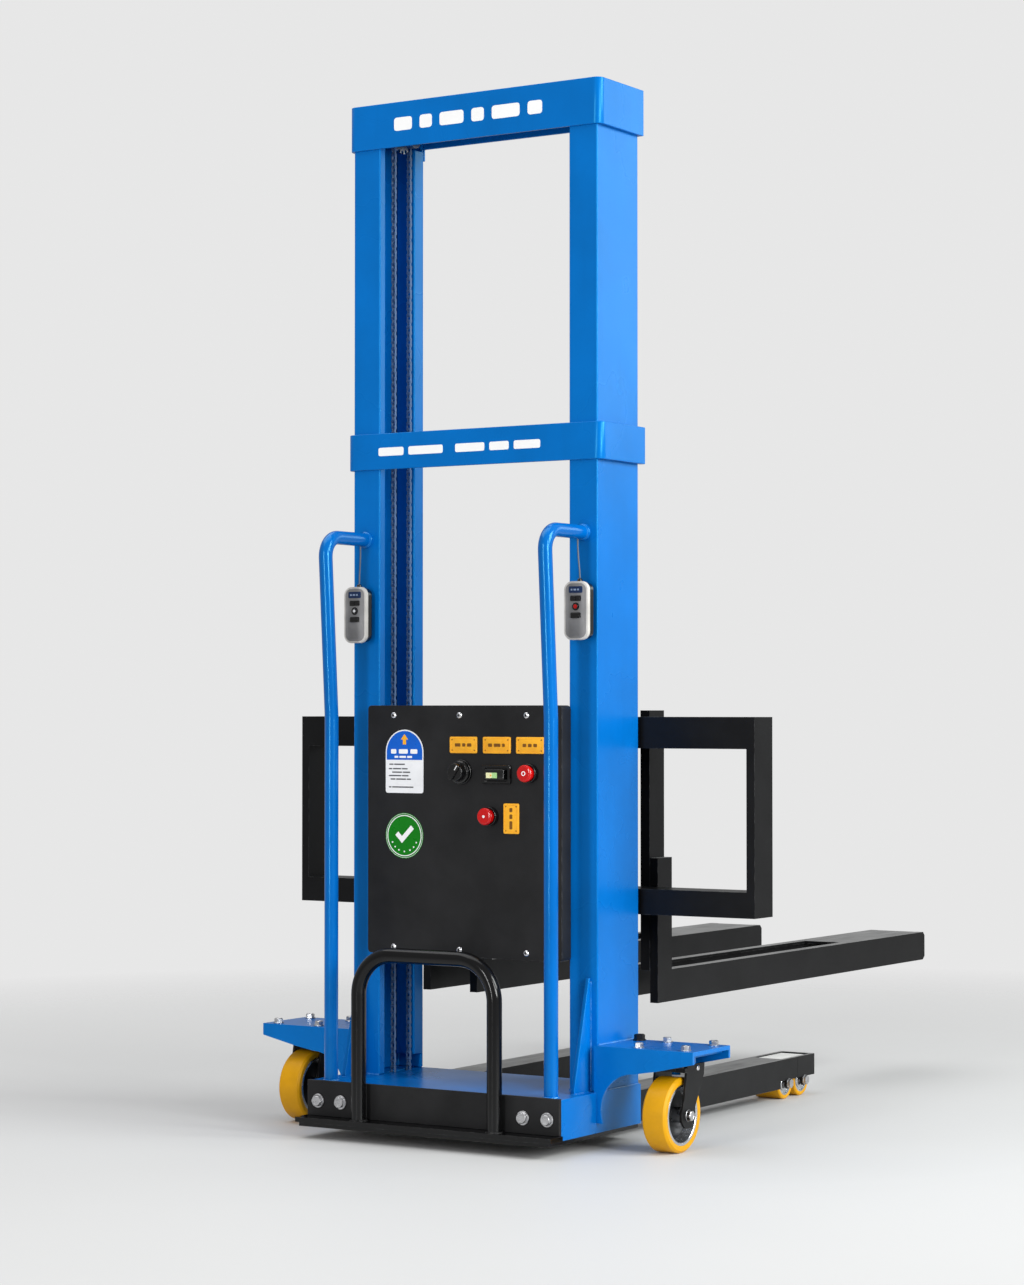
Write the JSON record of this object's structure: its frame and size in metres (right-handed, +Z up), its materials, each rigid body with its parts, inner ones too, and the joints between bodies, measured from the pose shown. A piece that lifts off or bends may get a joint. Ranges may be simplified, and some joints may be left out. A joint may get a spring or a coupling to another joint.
{
  "type": "walkie stacker",
  "caption": "Walk-behind pallet stacker: single chain-lift mast, fork carriage with backrest, outrigger legs, swivel casters, control panel and hanging handsets.",
  "frame": {"origin": "on the floor, under the middle of the overall length and width", "axes": "+X to the right, +Y along the forks, +Z up"},
  "size_m": [1.096, 1.72, 2.1],
  "materials": {
    "blue_paint": "semi-gloss powder coat",
    "black_paint": "satin powder coat",
    "zinc": "zinc plated",
    "steel": "machined",
    "cast_hub": "cast and machined",
    "polyurethane": "cast polyurethane",
    "amber_plate": "amber plastic",
    "label_film": "printed film",
    "black_plastic": "moulded",
    "lit_plastic": "translucent",
    "red_plastic": "moulded",
    "grey_plastic": "moulded",
    "white_plastic": "moulded",
    "battery_case": "moulded",
    "cord_rubber": "matt"
  },
  "bodies": {
    "chassis": {"left_column": "blue_paint", "right_column": "blue_paint", "mast_cap": "blue_paint", "mast_collar": "blue_paint", "base_frame": "blue_paint", "belly_plate": "black_paint", "rear_plate": "black_paint", "foot_guard": "black_paint", "left_handle": "blue_paint", "right_handle": "blue_paint", "left_wing": "blue_paint", "right_wing": "blue_paint", "caster_mounts": "blue_paint", "frame_bolts": "zinc", "left_leg": "black_paint", "right_leg": "black_paint", "roller_axles": "zinc", "control_box": "black_paint", "panel_cover": "black_paint", "panel_screws": "zinc", "label_plates": "amber_plate", "panel_labels": "label_film", "control_bezels": "black_plastic", "battery": "battery_case", "controller": "cast_hub", "drive_motor": "steel", "shaft_bearings": "steel", "lift_chains": "steel"},
    "carriage": {"backrest": "black_paint", "left_fork": "black_paint", "right_fork": "black_paint", "carriage_plates": "black_paint"},
    "upper_rollers": {"upper_guide_rollers": "steel"},
    "lower_rollers": {"lower_guide_rollers": "steel"},
    "low_shaft": {"drive_shaft": "steel"},
    "high_shaft": {"top_shaft": "steel"},
    "left_caster": {"left_yoke": "black_paint"},
    "right_caster": {"right_yoke": "black_paint"},
    "left_wheel": {"left_hub": "cast_hub", "left_tyre": "polyurethane"},
    "right_wheel": {"right_hub": "cast_hub", "right_tyre": "polyurethane"},
    "leg_roller_lr": {"left_rear_roller": "polyurethane"},
    "leg_roller_lf": {"left_front_roller": "polyurethane"},
    "leg_roller_rr": {"right_rear_roller": "polyurethane"},
    "leg_roller_rf": {"right_front_roller": "polyurethane"},
    "knob_body": {"knob": "black_plastic"},
    "rocker_body": {"rocker": "lit_plastic"},
    "stop_body": {"stop_button": "red_plastic"},
    "lower_body": {"lower_button": "red_plastic"},
    "left_handset": {"left_remote": "grey_plastic", "left_cord": "cord_rubber"},
    "left_pair": {"left_pair_key": "black_plastic"},
    "left_round": {"left_round_key": "white_plastic"},
    "left_arch": {"left_arch_key": "black_plastic"},
    "right_handset": {"right_remote": "grey_plastic", "right_cord": "cord_rubber"},
    "right_pair": {"right_pair_key": "black_plastic"},
    "right_round": {"right_round_key": "red_plastic"},
    "right_arch": {"right_arch_key": "black_plastic"}
  },
  "joints": [
    {"name": "carriage_lift", "type": "slide", "parent": "chassis", "child": "carriage", "axis": [0, 0, 1], "range_m": [-0.215, 1.27]},
    {"name": "upper_roller_roll", "type": "hinge", "parent": "carriage", "child": "upper_rollers", "pos_m": [0, -0.5743, 0.7], "axis": [1, 0, 0], "range_deg": [-2500, 500]},
    {"name": "lower_roller_roll", "type": "hinge", "parent": "carriage", "child": "lower_rollers", "pos_m": [0, -0.6317, 0.485], "axis": [1, 0, 0], "range_deg": [-500, 2500]},
    {"name": "drive_shaft_turn", "type": "hinge", "parent": "chassis", "child": "low_shaft", "pos_m": [0, -0.58, 0.07], "axis": [1, 0, 0], "range_deg": [-500, 2650]},
    {"name": "top_shaft_turn", "type": "hinge", "parent": "chassis", "child": "high_shaft", "pos_m": [0, -0.58, 2.044], "axis": [1, 0, 0], "range_deg": [-500, 2650]},
    {"name": "left_caster_swivel", "type": "hinge", "parent": "chassis", "child": "left_caster", "pos_m": [-0.434, -0.61, 0.165], "axis": [0, 0, 1], "continuous": true},
    {"name": "left_wheel_roll", "type": "hinge", "parent": "left_caster", "child": "left_wheel", "pos_m": [-0.434, -0.63, 0.073], "axis": [1, 0, 0], "continuous": true},
    {"name": "right_caster_swivel", "type": "hinge", "parent": "chassis", "child": "right_caster", "pos_m": [0.434, -0.61, 0.165], "axis": [0, 0, 1], "continuous": true},
    {"name": "right_wheel_roll", "type": "hinge", "parent": "right_caster", "child": "right_wheel", "pos_m": [0.434, -0.63, 0.073], "axis": [1, 0, 0], "continuous": true},
    {"name": "left_rear_roller_roll", "type": "hinge", "parent": "chassis", "child": "leg_roller_lr", "pos_m": [-0.218, 0.206, 0.035], "axis": [1, 0, 0], "continuous": true},
    {"name": "left_front_roller_roll", "type": "hinge", "parent": "chassis", "child": "leg_roller_lf", "pos_m": [-0.218, 0.282, 0.035], "axis": [1, 0, 0], "continuous": true},
    {"name": "right_rear_roller_roll", "type": "hinge", "parent": "chassis", "child": "leg_roller_rr", "pos_m": [0.218, 0.206, 0.035], "axis": [1, 0, 0], "continuous": true},
    {"name": "right_front_roller_roll", "type": "hinge", "parent": "chassis", "child": "leg_roller_rf", "pos_m": [0.218, 0.282, 0.035], "axis": [1, 0, 0], "continuous": true},
    {"name": "knob_turn", "type": "hinge", "parent": "chassis", "child": "knob_body", "pos_m": [-0.003, -0.705, 0.732], "axis": [0, 1, 0], "range_deg": [0, 90]},
    {"name": "rocker_tilt", "type": "hinge", "parent": "chassis", "child": "rocker_body", "pos_m": [0.081, -0.701, 0.728], "axis": [0, 0, 1], "range_deg": [-6, 6]},
    {"name": "stop_press", "type": "slide", "parent": "chassis", "child": "stop_body", "axis": [0, 1, 0], "range_m": [0, 0.004], "stiffness_N_per_m": 400},
    {"name": "lower_press", "type": "slide", "parent": "chassis", "child": "lower_body", "axis": [0, 1, 0], "range_m": [0, 0.004], "stiffness_N_per_m": 400},
    {"name": "left_handset_swing", "type": "hinge", "parent": "chassis", "child": "left_handset", "pos_m": [-0.26, -0.692, 1.191], "axis": [1, 0, 0], "range_deg": [-22, 0]},
    {"name": "left_pair_rock", "type": "hinge", "parent": "left_handset", "child": "left_pair", "pos_m": [-0.264, -0.704, 1.074], "axis": [0, 0, 1], "range_deg": [-3, 3], "stiffness_Nm_per_rad": 0.05},
    {"name": "left_round_press", "type": "slide", "parent": "left_handset", "child": "left_round", "axis": [0, 1, 0], "range_m": [0, 0.0015], "stiffness_N_per_m": 300},
    {"name": "left_arch_press", "type": "slide", "parent": "left_handset", "child": "left_arch", "axis": [0, 1, 0], "range_m": [0, 0.0015], "stiffness_N_per_m": 300},
    {"name": "right_handset_swing", "type": "hinge", "parent": "chassis", "child": "right_handset", "pos_m": [0.26, -0.692, 1.191], "axis": [1, 0, 0], "range_deg": [-22, 0]},
    {"name": "right_pair_rock", "type": "hinge", "parent": "right_handset", "child": "right_pair", "pos_m": [0.264, -0.704, 1.074], "axis": [0, 0, 1], "range_deg": [-3, 3], "stiffness_Nm_per_rad": 0.05},
    {"name": "right_round_press", "type": "slide", "parent": "right_handset", "child": "right_round", "axis": [0, 1, 0], "range_m": [0, 0.0015], "stiffness_N_per_m": 300},
    {"name": "right_arch_press", "type": "slide", "parent": "right_handset", "child": "right_arch", "axis": [0, 1, 0], "range_m": [0, 0.0015], "stiffness_N_per_m": 300}
  ],
  "couplings": [
    {"joint": "upper_roller_roll", "follows": "carriage_lift", "rad_per_m": -33.333},
    {"joint": "lower_roller_roll", "follows": "carriage_lift", "rad_per_m": 33.333},
    {"joint": "drive_shaft_turn", "follows": "carriage_lift", "rad_per_m": 35.714},
    {"joint": "top_shaft_turn", "follows": "carriage_lift", "rad_per_m": 35.714}
  ]
}
